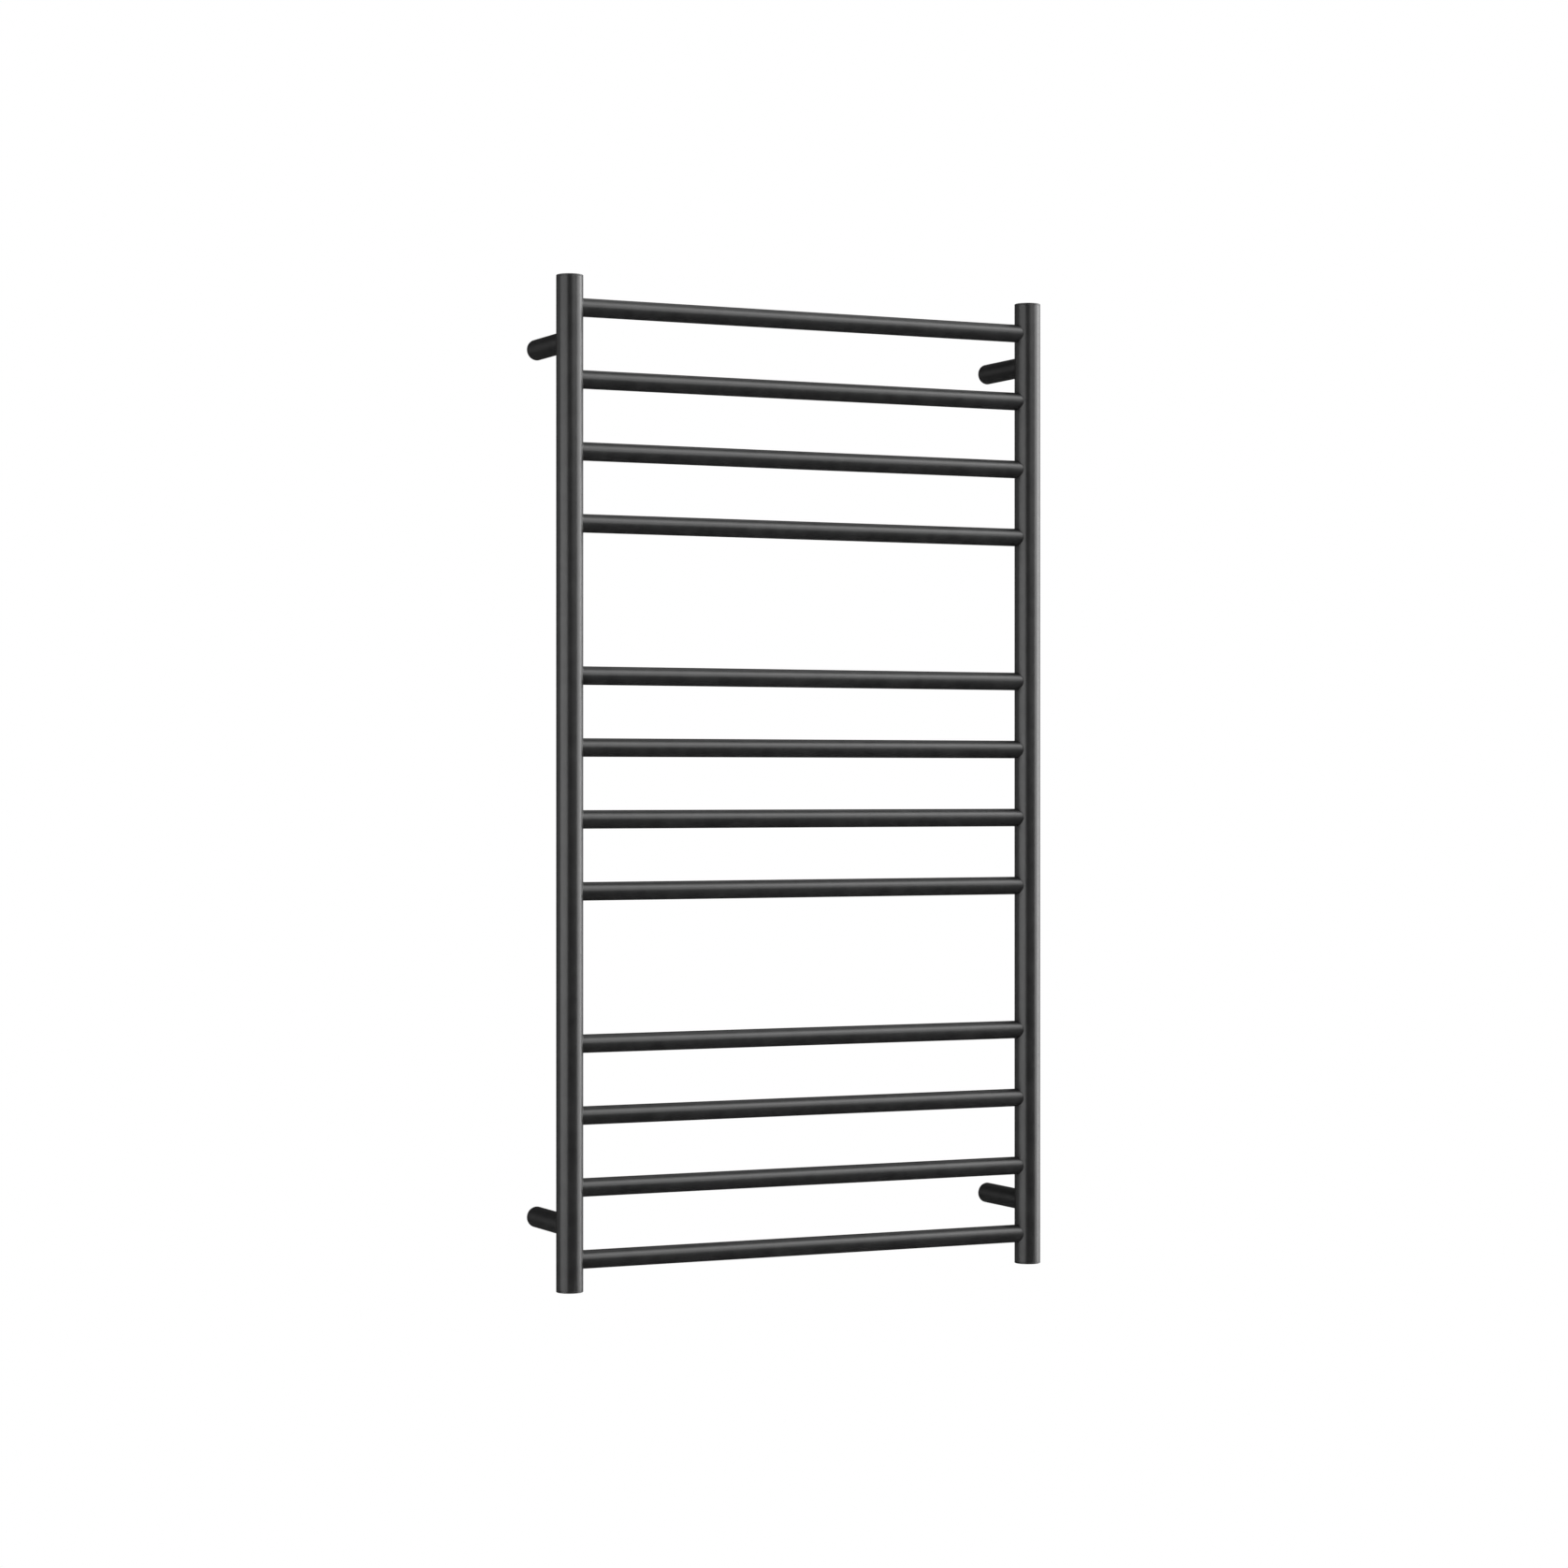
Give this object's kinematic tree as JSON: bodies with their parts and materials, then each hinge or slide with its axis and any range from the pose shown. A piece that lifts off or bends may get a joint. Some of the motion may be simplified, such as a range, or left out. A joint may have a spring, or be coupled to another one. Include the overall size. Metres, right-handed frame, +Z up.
{
  "type": "towel warmer rack",
  "caption": "Wall-mounted electric towel warmer: a ladder of round bars in groups between two round stiles, on round wall posts that slide over screwed bosses.",
  "frame": {"origin": "on the wall plane, midway between the four wall fixing holes", "axes": "+X to the right seen from the front, +Y into the wall, +Z up the ladder"},
  "size_m": [0.65, 0.122, 1.2],
  "materials": {
    "black_powder_coat": "fine satin black powder coat",
    "stainless_steel": "turned",
    "blackened_steel": "black oxide",
    "black_rubber": "matte",
    "grey_sleeve": "heat-shrunk sleeve",
    "silicone_cable": "satin silicone",
    "glass_fibre_sleeve": "braided sleeve",
    "earth_green": "insulated wire",
    "tinned_copper": "tinned",
    "brass": "plain"
  },
  "bodies": {
    "wall_bosses": {"top_left_boss": "stainless_steel", "top_right_boss": "stainless_steel", "bottom_left_boss": "stainless_steel", "bottom_right_boss": "stainless_steel", "cable_grommet": "black_rubber"},
    "rack": {"left_stile": "black_powder_coat", "right_stile": "black_powder_coat", "bar_01": "black_powder_coat", "bar_02": "black_powder_coat", "bar_03": "black_powder_coat", "bar_04": "black_powder_coat", "bar_05": "black_powder_coat", "bar_06": "black_powder_coat", "bar_07": "black_powder_coat", "bar_08": "black_powder_coat", "bar_09": "black_powder_coat", "bar_10": "black_powder_coat", "bar_11": "black_powder_coat", "bar_12": "black_powder_coat", "top_left_cap": "black_powder_coat", "top_right_cap": "black_powder_coat", "bottom_left_cap": "black_powder_coat", "bottom_right_cap": "black_powder_coat", "top_left_post": "black_powder_coat", "top_right_post": "black_powder_coat", "bottom_left_post": "black_powder_coat", "bottom_right_post": "black_powder_coat", "set_screws": "blackened_steel", "lead_splice": "grey_sleeve", "element_lead": "silicone_cable", "thermal_cutout": "glass_fibre_sleeve", "heating_cable": "silicone_cable", "cable_end_seal": "black_rubber", "earth_lead": "earth_green", "earth_terminal": "tinned_copper", "earth_nut": "brass", "earth_stud": "brass"}
  },
  "joints": [
    {"name": "rack_draw_off", "type": "slide", "parent": "wall_bosses", "child": "rack", "axis": [0, -1, 0], "range_m": [0, 0.03]}
  ]
}
